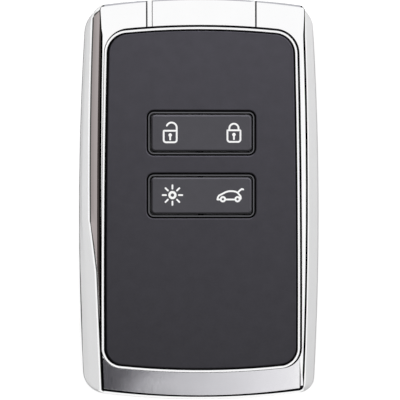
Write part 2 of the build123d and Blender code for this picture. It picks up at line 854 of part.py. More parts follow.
# Plastic tongue that holds the blade's root, with the notch for the latch hook
with BuildPart() as key_carrier:
    with BuildSketch(Plane.XY.offset(carrier_z)) as carrier_plan:
        with Locations((0, carrier_tip_y)):
            Rectangle(carrier_width, carrier_root_y - carrier_tip_y, align=(Align.CENTER, Align.MIN))
        chamfer(carrier_plan.vertices().sort_by(Axis.Y)[:2], carrier_lead)
    extrude(amount=carrier_thickness)
    with BuildSketch(Plane.XY.offset(blade_z - press_gap)):
        with Locations((0, blade_root_y + press_gap)):
            Rectangle(
                blade_width + 2 * press_gap,
                2 * (blade_root_y - carrier_tip_y),
                align=(Align.CENTER, Align.MAX),
            )
    extrude(amount=blade_thickness + 2 * press_gap, mode=Mode.SUBTRACT)
    with BuildSketch(Plane.XY.offset(carrier_z)):
        with Locations((-carrier_width / 2, hook_y)):
            Rectangle(2 * (hook_depth + fit_gap), hook_gap)
    extrude(amount=carrier_thickness, mode=Mode.SUBTRACT)
    with BuildSketch(Plane.XY.offset(carrier_z)):
        with Locations((0, pin_y)):
            Circle(pin_radius + press_gap)
    extrude(amount=carrier_thickness, mode=Mode.SUBTRACT)
key_carrier.part.label = "key_carrier"
export_step(key_carrier.part, "parts/key_carrier.step")

# Steel blade with a pointed tip and a milled track in each face
track_points = [
    ((-1) ** step * track_swing, carrier_tip_y - track_setback - step * track_pitch / 2)
    for step in range(track_points_count)
]
with BuildPart() as key_blade:
    with BuildSketch(Plane.XY.offset(blade_z)) as blade_plan:
        with Locations((0, blade_root_y)):
            Rectangle(blade_width, blade_root_y - blade_tip_y, align=(Align.CENTER, Align.MAX))
        chamfer(blade_plan.vertices().sort_by(Axis.Y)[:2], blade_point)
    extrude(amount=blade_thickness)
    for track_z in (blade_z, blade_z + blade_thickness - track_depth):
        with BuildSketch(Plane.XY.offset(track_z)) as track:
            with BuildLine():
                Polyline(*track_points)
            trace(line_width=track_width)
        extrude(amount=track_depth, mode=Mode.SUBTRACT)
key_blade.part.label = "key_blade"
export_step(key_blade.part, "parts/key_blade.step")

# Cross pin through grip and carrier, driven in from the back
with BuildPart() as key_pin:
    with BuildSketch(Plane.XY.offset(pin_foot_z)):
        with Locations((0, pin_y)):
            Circle(pin_radius)
    extrude(amount=pin_top_z - pin_foot_z)
    chamfer(key_pin.edges(), pin_chamfer)
key_pin.part.label = "key_pin"
export_step(key_pin.part, "parts/key_pin.step")

# Inner carrier: a deck under the board with the cell's ring, the key's channel, the spring's
# anchor, two screw bosses and a skirt round its edge
with BuildPart() as chassis:
    with BuildSketch(Plane.XY.offset(deck_z)):
        add(cavity_outline(board_inset))
    extrude(amount=board_z - deck_z)
    with BuildSketch(Plane.XY.offset(chassis_z)):
        add(cavity_outline(board_inset))
        add(cavity_outline(board_inset + chassis_wall), mode=Mode.SUBTRACT)
        with Locations((0, cell_y)):
            Circle(bay_radius + bay_wall)
        for wall_side in (-1, 1):
            with Locations((wall_side * blade_wall_x, blade_tip_y)):
                Rectangle(channel_wall, carrier_tip_y - blade_tip_y, align=(Align.CENTER, Align.MIN))
            with Locations((wall_side * carrier_wall_x, carrier_tip_y - fit_gap)):
                Rectangle(
                    channel_wall,
                    cavity_head_y - board_inset - carrier_tip_y,
                    align=(Align.CENTER, Align.MIN),
                )
            step_x = wall_side * (blade_wall_x + carrier_wall_x) / 2
            with Locations((step_x, carrier_tip_y - fit_gap)):
                Rectangle(
                    carrier_wall_x - blade_wall_x + channel_wall,
                    channel_wall,
                    align=(Align.CENTER, Align.MAX),
                )
            with Locations((wall_side * boss_x, boss_y)):
                Circle(boss_radius)
        for anchor_side in (-1, 1):
            anchor_shift = anchor_side * (anchor_block / 2 + fit_gap / 2 + spring_thickness / 2)
            with Locations((anchor_x, spring_foot_y + anchor_shift)):
                Rectangle(anchor_length, anchor_block)
    extrude(amount=wall_height)
    # The cell's bay, the screw holes, the hook's gap and the mouth of the key channel
    with BuildSketch(Plane.XY.offset(chassis_z)):
        with Locations((0, cell_y)):
            Circle(bay_radius)
        with Locations((-boss_x, boss_y), (boss_x, boss_y)):
            Circle(screw_radius + axle_clearance)
        with Locations((bay_radius + bay_wall / 2, cell_y)):
            Rectangle(2 * bay_wall, contact_width + 4 * fit_gap)
    extrude(amount=wall_height, mode=Mode.SUBTRACT)
    with BuildSketch(Plane.XY.offset(chassis_z)):
        with Locations((-carrier_wall_x, hook_y)):
            Rectangle(3 * channel_wall, 2 * hook_gap)
        with Locations((0, cavity_head_y - board_inset)):
            Rectangle(2 * key_slot_half_width, past)
    extrude(amount=deck_z - chassis_z, mode=Mode.SUBTRACT)
chassis.part.label = "chassis"
export_step(chassis.part, "parts/chassis.step")

# Release slider: thumb plate in the slot, a wider flange inside and a tab beside the spring
with BuildPart() as release_slider:
    with BuildSketch(Plane.XY.offset(slider_sink)):
        with Locations((0, slider_y)):
            RectangleRounded(slider_width, slider_depth, slider_corner_radius)
    extrude(amount=cover_slot_z - slider_sink)
    with BuildSketch():
        with Locations((0, slider_y)):
            with GridLocations(thumb_groove_pitch, 0, 4, 1):
                SlotOverall(slider_depth - thumb_groove_pitch, thumb_groove_pitch / 2, rotation=90)
    extrude(amount=slider_sink + thumb_groove_depth, mode=Mode.SUBTRACT)
    with BuildSketch(Plane.XY.offset(cover_slot_z)):
        with Locations((0, slider_y)):
            Rectangle(slider_width + 2 * slider_flange, slider_depth + 2 * slider_flange)
        with Locations((tab_x - tab_width / 2, slider_y)):
            Rectangle(-tab_x, slider_depth / 2, align=(Align.MIN, Align.CENTER))
    extrude(amount=slider_flange_thickness)
    with BuildSketch(Plane.XY.offset(cover_slot_z)):
        with Locations((tab_x, slider_y)):
            Rectangle(tab_width, slider_depth / 2)
    extrude(amount=tab_top_z - cover_slot_z)
release_slider.part.label = "release_slider"
export_step(release_slider.part, "parts/release_slider.step")

# Latch spring: a flat strip on edge, bent into a foot at one end and a hook at the other
with BuildPart() as latch_spring:
    with BuildSketch(Plane.XY.offset(chassis_z + fit_gap)):
        with BuildLine():
            Polyline(
                (anchor_x - anchor_length / 2, spring_foot_y),
                (spring_x, spring_foot_y),
                (spring_x, hook_y),
                (hook_tip_x, hook_y),
            )
        trace(line_width=spring_thickness)
    extrude(amount=spring_height)
latch_spring.part.label = "latch_spring"
export_step(latch_spring.part, "parts/latch_spring.step")

# Coin cell with its raised cap
with BuildPart() as battery_cell:
    with BuildSketch(Plane.XY.offset(cell_z)):
        with Locations((0, cell_y)):
            Circle(cell_radius)
    extrude(amount=cell_thickness - cell_cap_height)
    fillet(battery_cell.edges(), cell_edge_round)
    with BuildSketch(Plane.XY.offset(cell_z)):
        with Locations((0, cell_y)):
            Circle(cell_cap_radius)
    extrude(amount=cell_thickness)
battery_cell.part.label = "battery_cell"
export_step(battery_cell.part, "parts/battery_cell.step")

# Circuit board on the chassis deck
with BuildPart() as circuit_board:
    with BuildSketch(Plane.XY.offset(board_z)):
        add(cavity_outline(board_inset))
        with Locations((-boss_x, boss_y), (boss_x, boss_y)):
            Circle(screw_radius + axle_clearance, mode=Mode.SUBTRACT)
    extrude(amount=board_thickness)
circuit_board.part.label = "circuit_board"
export_step(circuit_board.part, "parts/circuit_board.step")

# The two screws that hold the board down, with cross slots
with BuildPart() as board_screws:
    for screw_x in (-boss_x, boss_x):
        with BuildSketch(Plane.XY.offset(board_top_z)):
            with Locations((screw_x, boss_y)):
                Circle(screw_head_radius)
        extrude(amount=screw_head_height)
        with BuildSketch(Plane.XY.offset(board_top_z - screw_length)):
            with Locations((screw_x, boss_y)):
                Circle(screw_radius)
        extrude(amount=screw_length)
        with BuildSketch(Plane.XY.offset(board_top_z + screw_head_height / 2)):
            with Locations((screw_x, boss_y)):
                Rectangle(screw_head_radius, screw_slot)
                Rectangle(screw_slot, screw_head_radius)
        extrude(amount=screw_head_height, mode=Mode.SUBTRACT)
board_screws.part.label = "board_screws"
export_step(board_screws.part, "parts/board_screws.step")

# One switch under each icon: a square body with a bore, and its sprung plunger
for switch_name, place in switch_places.items():
    with BuildPart() as switch_body:
        with BuildSketch(Plane.XY.offset(board_top_z)):
            with Locations(place):
                Rectangle(switch_width, switch_depth)
        extrude(amount=switch_height)
        chamfer(switch_body.edges().filter_by(Axis.Z), switch_chamfer)
        with BuildSketch(Plane.XY.offset(plunger_foot_z - switch_travel - plunger_clearance)):
            with Locations(place):
                Circle(plunger_radius + plunger_clearance)
        extrude(amount=switch_height, mode=Mode.SUBTRACT)
    switch_body.part.label = f"{switch_name}_switch"
    export_step(switch_body.part, f"parts/{switch_name}_switch.step")
    with BuildPart() as plunger:
        with BuildSketch(Plane.XY.offset(plunger_foot_z)):
            with Locations(place):
                Circle(plunger_radius)
        extrude(amount=plunger_depth + plunger_stand)
        fillet(plunger.edges().group_by(Axis.Z)[-1], plunger_round)
    plunger.part.label = f"{switch_name}_plunger"
    export_step(plunger.part, f"parts/{switch_name}_plunger.step")

# Silicone mat: a thin web on a wall that stands on the board, with one post between each pad nub
# and its switch
with BuildPart() as key_mat:
    with BuildSketch(Plane.XY.offset(mat_z)):
        with Locations((0, mat_y)):
            RectangleRounded(mat_width, mat_length, mat_corner_radius)
    extrude(amount=mat_thickness)
    with BuildSketch(Plane.XY.offset(board_top_z)):
        with Locations((0, mat_y)):
            RectangleRounded(mat_width, mat_length, mat_corner_radius)
            Rectangle(mat_width - 2 * mat_wall, mat_length - 2 * mat_wall, mode=Mode.SUBTRACT)
    extrude(amount=mat_z - board_top_z)
    with BuildSketch(Plane.XY.offset(mat_top_z)):
        with Locations(*switch_places.values()):
            Circle(post_radius)
    extrude(amount=post_height)
    fillet(key_mat.edges().group_by(Axis.Z)[-1], post_round)
key_mat.part.label = "key_mat"
export_step(key_mat.part, "parts/key_mat.step")

# Chips on the board, each with its pin-one dimple
for block_name, (block_x, block_shift, block_w, block_l, block_h) in board_blocks.items():
    block_y = antenna_y + block_shift
    with BuildPart() as block:
        with BuildSketch(Plane.XY.offset(board_top_z)):
            with Locations((block_x, block_y)):
                Rectangle(block_w, block_l)
        extrude(amount=block_h)
        chamfer(block.edges().filter_by(Axis.Z), chip_chamfer)
        with BuildSketch(Plane.XY.offset(board_top_z + block_h)):
            with Locations((block_x - block_w / 3, block_y + block_l / 3)):
                Circle(chip_dimple_radius)
        extrude(amount=-chip_dimple_depth, mode=Mode.SUBTRACT)
    block.part.label = block_name
    export_step(block.part, f"parts/{block_name}.step")

# Antenna block for the car's wake-up field: a ferrite plate with a winding round its waist
with BuildPart() as low_frequency_antenna:
    with BuildSketch(Plane.XY.offset(board_top_z)):
        with Locations((0, antenna_y)):
            RectangleRounded(antenna_side, antenna_side, antenna_corner_radius)
    extrude(amount=antenna_height)
    with BuildSketch(Plane.XY.offset(board_top_z + antenna_lip)):
        with Locations((0, antenna_y)):
            RectangleRounded(antenna_side, antenna_side, antenna_corner_radius)
            offset(amount=-antenna_waist, mode=Mode.SUBTRACT)
    extrude(amount=antenna_height - 2 * antenna_lip, mode=Mode.SUBTRACT)
low_frequency_antenna.part.label = "low_frequency_antenna"
export_step(low_frequency_antenna.part, "parts/low_frequency_antenna.step")

# Small wound rod that starts the car when the cell is flat: two end cheeks and the coil between
with BuildPart() as transponder_coil:
    with BuildSketch(Plane.XY.offset(board_top_z)):
        with Locations((0, coil_y)):
            Rectangle(coil_length, coil_height - coil_waist)
    extrude(amount=coil_height - coil_waist)
    with BuildSketch(Plane.XY.offset(board_top_z)):
        for cheek_side in (-1, 1):
            with Locations((cheek_side * (coil_length - cheek_length) / 2, coil_y)):
                Rectangle(cheek_length, coil_height + coil_waist)
    extrude(amount=coil_height)
transponder_coil.part.label = "transponder_coil"
export_step(transponder_coil.part, "parts/transponder_coil.step")

# Small chip resistors and capacitors, each a separate block
with BuildPart() as board_passives:
    with BuildSketch(Plane.XY.offset(board_top_z)):
        for row_foot_y in (mat_foot_y, antenna_y + antenna_side):
            with Locations((-passive_row_x, row_foot_y - passive_row_drop)):
                with GridLocations(passive_pitch, 0, 4, 1):
                    Rectangle(passive_width, passive_length)
        for column_y in (antenna_y + antenna_side, coil_y):
            with Locations((passive_column_x, column_y - passive_row_drop)):
                with GridLocations(0, passive_pitch, 1, 3):
                    Rectangle(passive_length, passive_width)
    extrude(amount=passive_height)
board_passives.part.label = "board_passives"
export_step(board_passives.part, "parts/board_passives.step")

# Positive contact: a strip beside the cell's rim, bent over under the board
with BuildPart() as side_contact:
    with BuildSketch(Plane.XZ.offset(-cell_y)):
        with BuildLine():
            Polyline(
                (contact_x, chassis_z),
                (contact_x, contact_z),
                (contact_x + side_contact_foot, contact_z),
            )
        trace(line_width=contact_thickness)
    extrude(amount=contact_width / 2, both=True)
side_contact.part.label = "side_contact"
export_step(side_contact.part, "parts/side_contact.step")

# Negative contact: a flat foot under the board with a sprung finger over the cell's cap
with BuildPart() as face_contact:
    with BuildSketch(Plane.XZ.offset(-cell_y)):
        with BuildLine():
            Polyline(
                (-face_contact_foot, contact_z),
                (-face_contact_bend, contact_z),
                (face_contact_bend, cell_z + cell_thickness + contact_thickness),
                (face_contact_foot, contact_z - contact_thickness),
            )
        trace(line_width=contact_thickness)
    extrude(amount=contact_width / 2, both=True)
face_contact.part.label = "face_contact"
export_step(face_contact.part, "parts/face_contact.step")
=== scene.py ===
"""Looks of the car key fob: materials for every solid, the four button signs, floor, light and camera.

Lengths are in metres, in the frame of the solids: X across the fob, Y towards the emergency key and
Z up through the button panel. Sizes of patterns, zones and signs are in millimetres.
"""

from functools import cached_property
from math import cos, radians, sin, tan

import bmesh
import bpy
from mathutils import Matrix, Vector


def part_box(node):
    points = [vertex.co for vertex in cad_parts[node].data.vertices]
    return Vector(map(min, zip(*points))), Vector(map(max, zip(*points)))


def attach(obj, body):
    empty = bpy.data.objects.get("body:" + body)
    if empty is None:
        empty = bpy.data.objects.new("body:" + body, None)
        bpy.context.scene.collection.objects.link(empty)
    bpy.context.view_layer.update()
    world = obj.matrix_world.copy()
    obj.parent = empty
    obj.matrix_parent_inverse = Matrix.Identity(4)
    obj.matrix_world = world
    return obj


MM = 0.001

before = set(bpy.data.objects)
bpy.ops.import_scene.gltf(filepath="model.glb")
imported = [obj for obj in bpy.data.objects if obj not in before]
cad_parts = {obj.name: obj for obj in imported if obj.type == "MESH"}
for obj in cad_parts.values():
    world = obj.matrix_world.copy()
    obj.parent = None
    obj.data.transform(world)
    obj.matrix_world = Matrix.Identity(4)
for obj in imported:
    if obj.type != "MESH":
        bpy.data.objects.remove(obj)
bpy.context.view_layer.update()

# Heights and places of the solids that the looks and signs go by
PAD_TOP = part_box("lock_rocker")[1].z
PANEL_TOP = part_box("front_panel")[1].z
COLLAR_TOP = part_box("button_guide")[1].z
RIM_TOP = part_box("chrome_frame")[1].z
GRIP_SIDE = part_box("key_head")[1].x / MM

# Where the forehead starts to fall away, how far it goes on and how steeply it falls
FOREHEAD_Y = 33.5 * MM
FOREHEAD_RUN = 10 * MM
FOREHEAD_SLOPE = radians(2.5)

# Colours that several looks share
PANEL_COLOUR = (0.046, 0.044, 0.054)
PAD_COLOUR = (0.069, 0.067, 0.078)
CHROME_COLOUR = (0.965, 0.965, 0.97)
BLACK = (0.014, 0.014, 0.015)
INNER_BLACK = (0.02, 0.02, 0.022)
# Painted shade, for the sides of the panel and pads below their tops
SIDE_SHADE = (0.003, 0.003, 0.004)
# Painted shade, deep down in the seams of the plating
SEAM_SHADE = (0.008, 0.008, 0.009)
# Painted dark reflection and shade, for lines on the bright frame
DARK_REFLECTION_AND_SHADE = (0.004, 0.004, 0.005)
STEEL = (0.62, 0.61, 0.59)
WHITE = (1.0, 1.0, 1.0)

# Zones of the bright frame where dark reflections and shade are painted, in millimetres: for each value
# the lowest, the highest and the soft edge.
# height is measured from the rim, or from the forehead's slope, and slant is X corrected for the slant
# of the left flank's inner edge. FAR lies past every side of the fob.
FAR = 60
FLANK_SLANT = 0.0437
LEFT_SLOPE = {"x": (-FAR, -19.9, 0.1), "y": (-32.6, FAR, 0.3), "height": (-0.125, -0.006, 0.004)}
RIGHT_SLOPE = {"x": (20.4, FAR, 0.1), "y": (-35.4, FAR, 0.3), "height": (-0.21, -0.006, 0.006)}
BETWEEN_SEAMS = {"x": (-GRIP_SIDE - 0.26, GRIP_SIDE + 0.26, 0.03), "y": (34.2, FAR, 0.3)}
FLANK_EDGE = {"slant": (-22.017, -21.587, 0.06), "y": (-40.4, -25, 3), "height": (-1, FAR, 0.1)}
LEFT_FACET = {"x": (-FAR, -19, 0.1), "y": (-1, FAR, 4), "height": (-1.18, FAR, 0.02)}
FACET_FOOT = -1.17
FACET_CLEAR = -0.4


# Materials


class Nodes:
    """A node tree and short ways to add to it. Sizes of patterns are in millimetres."""

    def __init__(self, tree):
        self.tree = tree

    @cached_property
    def place(self):
        """The object's own coordinates."""
        return self.node("ShaderNodeTexCoord").outputs["Object"]

    @cached_property
    def axes(self):
        """The object's own coordinates as X, Y and Z."""
        parts = self.node("ShaderNodeSeparateXYZ")
        self.link(self.place, parts.inputs[0])
        return parts.outputs

    def node(self, kind, **values):
        """A node with its sockets set by name, with spaces written as underscores."""
        made = self.tree.nodes.new(kind)
        for key, value in values.items():
            made.inputs[key.replace("_", " ")].default_value = value
        return made

    def link(self, source, target):
        self.tree.links.new(source, target)

    def feed(self, value, socket):
        """Link an output to a socket, or set a colour or a number there."""
        if isinstance(value, bpy.types.NodeSocket):
            self.link(value, socket)
        elif isinstance(value, tuple):
            socket.default_value = (*value, 1)
        else:
            socket.default_value = value

    def maths(self, operation, first, *others):
        """Values combined by a maths operation, one after the other."""
        for other in others:
            made = self.node("ShaderNodeMath")
            made.operation = operation
            self.feed(first, made.inputs[0])
            self.feed(other, made.inputs[1])
            first = made.outputs[0]
        return first

    def along(self, vector, way):
        """How far a vector reaches along a way."""
        made = self.node("ShaderNodeVectorMath")
        made.operation = "DOT_PRODUCT"
        made.inputs[1].default_value = way
        self.link(vector, made.inputs[0])
        return made.outputs["Value"]

    def spread(self, value, low, high, start=0.3, end=0.7):
        """value mapped from start..end to low..high."""
        made = self.node("ShaderNodeMapRange", From_Min=start, From_Max=end, To_Min=low, To_Max=high)
        self.link(value, made.inputs["Value"])
        return made.outputs["Result"]

    def ramp(self, value, start, end):
        """0 up to start, rising to 1 at end."""
        return self.spread(value, 0.0, 1.0, start, end)

    def mix(self, value, first, second, blend="MIX"):
        """A colour between first and second, by value."""
        made = self.node("ShaderNodeMix")
        made.data_type = "RGBA"
        made.blend_type = blend
        self.feed(value, made.inputs[0])
        self.feed(first, made.inputs[6])
        self.feed(second, made.inputs[7])
        return made.outputs[2]

    def times(self, colour, *factors):
        """A colour multiplied by factors or by other colours."""
        for factor in factors:
            colour = self.mix(1.0, colour, factor, "MULTIPLY")
        return colour

    def noise(self, size, detail=2.0, stretch=(1, 1, 1), turn=0.0, distortion=0.0):
        """Soft noise with features about size across, stretched along the axes and turned about Z."""
        mapping = self.node("ShaderNodeMapping", Scale=stretch, Rotation=(0, 0, turn))
        made = self.node("ShaderNodeTexNoise", Scale=1 / (size * MM), Detail=detail, Distortion=distortion)
        self.link(self.place, mapping.inputs["Vector"])
        self.link(mapping.outputs["Vector"], made.inputs["Vector"])
        return made.outputs["Fac"]

    def cells(self, size):
        """Distance to the nearest of many scattered points, about size apart."""
        made = self.node("ShaderNodeTexVoronoi", Scale=1 / (size * MM))
        self.link(self.place, made.inputs["Vector"])
        return made.outputs["Distance"]


class Surface(Nodes):
    """A Principled material whose variation comes from the object's own coordinates."""

    def __init__(self, name, colour, roughness, metallic=0.0):
        self.material = bpy.data.materials.new(name)
        self.material.use_nodes = True
        super().__init__(self.material.node_tree)
        self.shader = self.tree.nodes["Principled BSDF"]
        self.set(Base_Color=(*colour, 1), Roughness=roughness, Metallic=metallic)

    def set(self, **values):
        """Plain values on the shader's own sockets."""
        for key, value in values.items():
            self.shader.inputs[key.replace("_", " ")].default_value = value
        return self

    def paint(self, colour):
        self.link(colour, self.shader.inputs["Base Color"])

    def rough(self, value):
        self.link(value, self.shader.inputs["Roughness"])

    def bump(self, value, depth, rounded=0.0):
        """Relief of a given depth, over edges that are rounded in the shading by rounded."""
        made = self.node("ShaderNodeBump", Distance=depth * MM, Strength=1.0)
        self.link(value, made.inputs["Height"])
        if rounded:
            edge = self.node("ShaderNodeBevel", Radius=rounded * MM)
            edge.samples = 12
            self.link(edge.outputs["Normal"], made.inputs["Normal"])
        self.link(made.outputs["Normal"], self.shader.inputs["Normal"])
        return self


def shades(colour, spread):
    """A darker and a lighter neighbour of a colour."""
    return tuple(c * (1 - spread) for c in colour), tuple(min(1, c * (1 + spread)) for c in colour)


def grey(level):
    return (level, level, level)


def painted_edge_light(made, low, high):
    """Painted light and shade: a factor from low to high by how far a face looks towards the upper right,
    1 where it looks up.
    """
    upper_right = (0.45, 0.65, 0)
    level, steep = 0.02, 0.4
    facing = made.along(made.node("ShaderNodeTexCoord").outputs["Normal"], upper_right)
    lit = made.spread(facing, 1.0, high, level, steep)
    shaded = made.spread(facing, low, 1.0, -steep, -level)
    return made.maths("MULTIPLY", lit, shaded)


def near_top(made, top, foot, head):
    """0 deeper than foot millimetres below top, rising to 1 at head millimetres below it."""
    return made.ramp(made.axes["Z"], top - foot * MM, top - head * MM)


def plastic(name, colour, roughness, grain, depth, spread=0.12, edge=0.08):
    """Moulded plastic: a spark-eroded grain with a soft, uneven tone and sheen."""
    made = Surface(name, colour, roughness)
    clouds = made.noise(grain * 14, detail=3.0)
    patches = made.noise(grain * 3)
    made.paint(made.mix(clouds, *shades(colour, spread)))
    made.rough(made.spread(patches, roughness * 0.88, roughness * 1.12))
    return made.bump(made.noise(grain, detail=3.0), depth, edge)


def panel(name):
    """Dark grained panel, with painted light a little lighter towards head and right, and painted shade
    down its sides.
    """
    half_width, half_length = 19 * MM, 34 * MM
    made = Surface(name, PANEL_COLOUR, 0.55).set(Specular_IOR_Level=0.35)
    # Painted light: the panel is lighter towards the head and towards the right.
    lengthwise = made.ramp(made.axes["Y"], -half_length, half_length)
    crosswise = made.ramp(made.axes["X"], -half_width, half_width)
    tone = made.mix(lengthwise, *shades(PANEL_COLOUR, 0.24))
    cloud = made.mix(made.noise(2.2, detail=3.0), grey(0.86), grey(1.14))
    painted_side_light = made.mix(crosswise, grey(0.98), grey(1.10))
    lit = made.times(tone, cloud, painted_side_light, painted_edge_light(made, 0.5, 2.6))
    # Painted shade: SIDE_SHADE on the panel's sides below its top.
    made.paint(made.mix(near_top(made, PANEL_TOP, 0.34, 0.14), SIDE_SHADE, lit))
    made.rough(made.spread(made.noise(0.48), 0.48, 0.62))
    return made.bump(made.noise(0.16, detail=3.0), 0.012, 0.1)


def pad(name):
    """Rocker pad: fine grain, with painted light along its upper and right edges and painted shade down
    its sides.
    """
    made = Surface(name, PAD_COLOUR, 0.5).set(Specular_IOR_Level=0.35)
    tone = made.mix(made.noise(2.8, detail=3.0), *shades(PAD_COLOUR, 0.08))
    # Painted light along the upper and right edges; painted shade down the sides below the top.
    lit = made.times(tone, painted_edge_light(made, 0.4, 2.2))
    made.paint(made.mix(near_top(made, PAD_TOP, 0.5, 0.3), SIDE_SHADE, lit))
    made.rough(made.spread(made.noise(0.6), 0.44, 0.56))
    return made.bump(made.noise(0.2, detail=3.0), 0.006)


def guide(name):
    """Inner plate: dark plastic with painted shade near black deep down, and painted light on the tops of
    its collars.
    """
    plate, painted_collar_light = (0.0015, 0.0015, 0.002), (0.12, 0.12, 0.13)
    made = Surface(name, (0.01, 0.01, 0.011), 0.45).set(Specular_IOR_Level=0.12)
    # Painted shade near black deeper down, painted light on the collar tops and by facing.
    tone = made.mix(near_top(made, COLLAR_TOP, 0.08, 0.02), plate, painted_collar_light)
    made.paint(made.times(tone, painted_edge_light(made, 0.5, 1.6)))
    made.rough(made.spread(made.noise(0.3), 0.38, 0.55))
    return made.bump(made.noise(0.1, detail=3.0), 0.004, 0.06)


def metal(name, colour, roughness, stretch, scratch, edge=0.1, spread=0.08):
    """Worked metal: fine marks drawn out along one axis, and a faint change of tone."""
    made = Surface(name, colour, roughness, 1.0)
    marks = made.noise(scratch, detail=4.0, stretch=stretch)
    made.paint(made.mix(made.noise(2.5), *shades(colour, spread)))
    made.rough(made.spread(marks, roughness * 0.7, roughness * 1.4))
    return made.bump(marks, 0.004, edge)


def outside(made, values, zone):
    """0 in a zone and 1 outside it, over its soft edges."""
    walls = []
    for key, (low, high, soft) in zone.items():
        walls.append(made.spread(values[key], 1.0, 0.0, (low - soft) * MM, low * MM))
        walls.append(made.spread(values[key], 0.0, 1.0, high * MM, (high + soft) * MM))
    return made.maths("MAXIMUM", *walls)


def frame_values(made):
    """The values that the frame's zones go by, in metres."""
    x, y, z = made.axes
    forehead_drop = FOREHEAD_RUN * tan(FOREHEAD_SLOPE)
    drop = made.spread(y, 0.0, forehead_drop, FOREHEAD_Y, FOREHEAD_Y + FOREHEAD_RUN)
    height = made.maths("ADD", z, -RIM_TOP, drop)
    slant = made.along(made.place, (1, FLANK_SLANT, 0))
    return {"x": x, "y": y, "height": height, "slant": slant}


def painted_dark_lines(made, plating):
    """Plating with painted dark reflections and shade as lines on the frame's thin slopes beside the ring,
    beside the grip's seams and along the left flank's inner edge, and a painted darker reflection towards
    the lower edge of the left facet."""
    values = frame_values(made)
    # Painted darker reflection towards the lower edge of the left facet.
    above_foot = made.ramp(values["height"], FACET_FOOT * MM, FACET_CLEAR * MM)
    clear = made.maths("MAXIMUM", outside(made, values, LEFT_FACET), above_foot)
    facet_darkened = made.times(plating, made.mix(clear, (0.76, 0.76, 0.75), WHITE))
    # Painted dark reflections and shade in lines.
    painted_zones = (LEFT_SLOPE, RIGHT_SLOPE, BETWEEN_SEAMS, FLANK_EDGE)
    free_of_lines = made.maths("MINIMUM", *(outside(made, values, zone) for zone in painted_zones))
    return made.mix(free_of_lines, DARK_REFLECTION_AND_SHADE, facet_darkened)


def chrome(name, edge, with_painted_lines=False):
    """Bright plating over moulded plastic: faint waves, hairline marks, rounded edges and painted shade
    deep down in the seams.
    The flag for the bright frame adds its painted dark reflections and shade in lines."""
    made = Surface(name, CHROME_COLOUR, 0.05, 1.0)
    # Painted shade deep down in the seams, by ambient occlusion.
    seam = made.node("ShaderNodeAmbientOcclusion", Distance=0.6 * MM)
    seam.samples = 8
    plating = made.mix(made.noise(6), *shades(CHROME_COLOUR, 0.02))
    # Painted dark reflections and shade in lines on the bright frame.
    if with_painted_lines:
        plating = painted_dark_lines(made, plating)
    made.paint(made.mix(made.ramp(seam.outputs["AO"], 0.35, 0.6), SEAM_SHADE, plating))
    hairs = made.noise(0.12, detail=3.0, stretch=(1, 0.06, 1))
    made.rough(made.spread(hairs, 0.035, 0.085))
    return made.bump(made.noise(3), 0.0015, edge)


def rings(name, colour, roughness, node_name, pitch):
    """Turned or spun metal with fine rings round the middle of a node."""
    low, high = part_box(node_name)
    middle = (low + high) / 2
    made = Surface(name, colour, roughness, 1.0)
    mapping = made.node("ShaderNodeMapping", Location=(-middle.x, -middle.y, 0))
    wave = made.node("ShaderNodeTexWave", Scale=1 / (pitch * MM), Distortion=0.6, Detail=2.0)
    wave.wave_type = "RINGS"
    wave.rings_direction = "Z"
    made.link(made.place, mapping.inputs["Vector"])
    made.link(mapping.outputs["Vector"], wave.inputs["Vector"])
    made.paint(made.mix(made.noise(1.5), *shades(colour, 0.06)))
    made.rough(made.spread(wave.outputs["Fac"], roughness * 0.8, roughness * 1.3))
    return made.bump(wave.outputs["Fac"], 0.003, 0.08)


def wound(name, wire, pitch, axis):
    """Enamelled wire wound round a form, one turn beside the next."""
    made = Surface(name, wire, 0.35, 0.7)
    turns = made.node("ShaderNodeTexWave", Scale=0.5 / (pitch * MM), Distortion=0.2)
    turns.bands_direction = axis
    made.link(made.place, turns.inputs["Vector"])
    made.paint(made.mix(turns.outputs["Fac"], tuple(c * 0.35 for c in wire), wire))
    made.rough(made.spread(made.noise(0.6), 0.28, 0.45))
    return made.bump(turns.outputs["Fac"], 0.03)


def laminate(name):
    """Circuit board: solder mask over copper tracks on a grid, with scattered vias."""
    mask, track, copper = (0.008, 0.085, 0.030), (0.014, 0.150, 0.048), (0.55, 0.40, 0.16)
    made = Surface(name, mask, 0.35)
    lanes = made.node("ShaderNodeTexBrick", Scale=260.0, Mortar_Size=0.06, Row_Height=0.7)
    made.link(made.place, lanes.inputs["Vector"])
    vias = made.spread(made.cells(1.9), 1.0, 0.0, 0.10, 0.13)
    tracked = made.mix(lanes.outputs["Fac"], made.mix(made.noise(2), mask, track), track)
    made.paint(made.mix(vias, tracked, copper))
    made.rough(made.spread(made.noise(0.3), 0.30, 0.45))
    return made.bump(lanes.outputs["Fac"], 0.02)


def silicone(name, colour):
    """Translucent rubber with a dusty, matt skin."""
    made = Surface(name, colour, 0.6).set(Sheen_Weight=0.3, Sheen_Roughness=0.5)
    made.paint(made.mix(made.noise(3), *shades(colour, 0.08)))
    made.rough(made.spread(made.noise(0.2), 0.5, 0.72))
    return made.bump(made.noise(0.15, detail=3.0), 0.006, 0.12)


def ceramic(name):
    """Chip resistors and capacitors: glazed bodies, some dark and some tan."""
    tan_glaze = (0.36, 0.25, 0.14)
    made = Surface(name, (0.3, 0.2, 0.1), 0.35)
    kinds = made.ramp(made.noise(1.1, detail=0.0), 0.45, 0.55)
    made.paint(made.mix(kinds, INNER_BLACK, tan_glaze))
    made.rough(made.spread(made.noise(0.1), 0.25, 0.5))
    return made.bump(made.noise(0.08, detail=3.0), 0.003, 0.06)


def print_ink(name, colour):
    """Printed or laser-marked white, a little uneven in tone."""
    made = Surface(name, colour, 0.45)
    made.paint(made.mix(made.noise(0.25, detail=3.0), *shades(colour, 0.03)))
    made.rough(made.spread(made.noise(0.1), 0.4, 0.55))
    return made.bump(made.noise(0.06), 0.002)


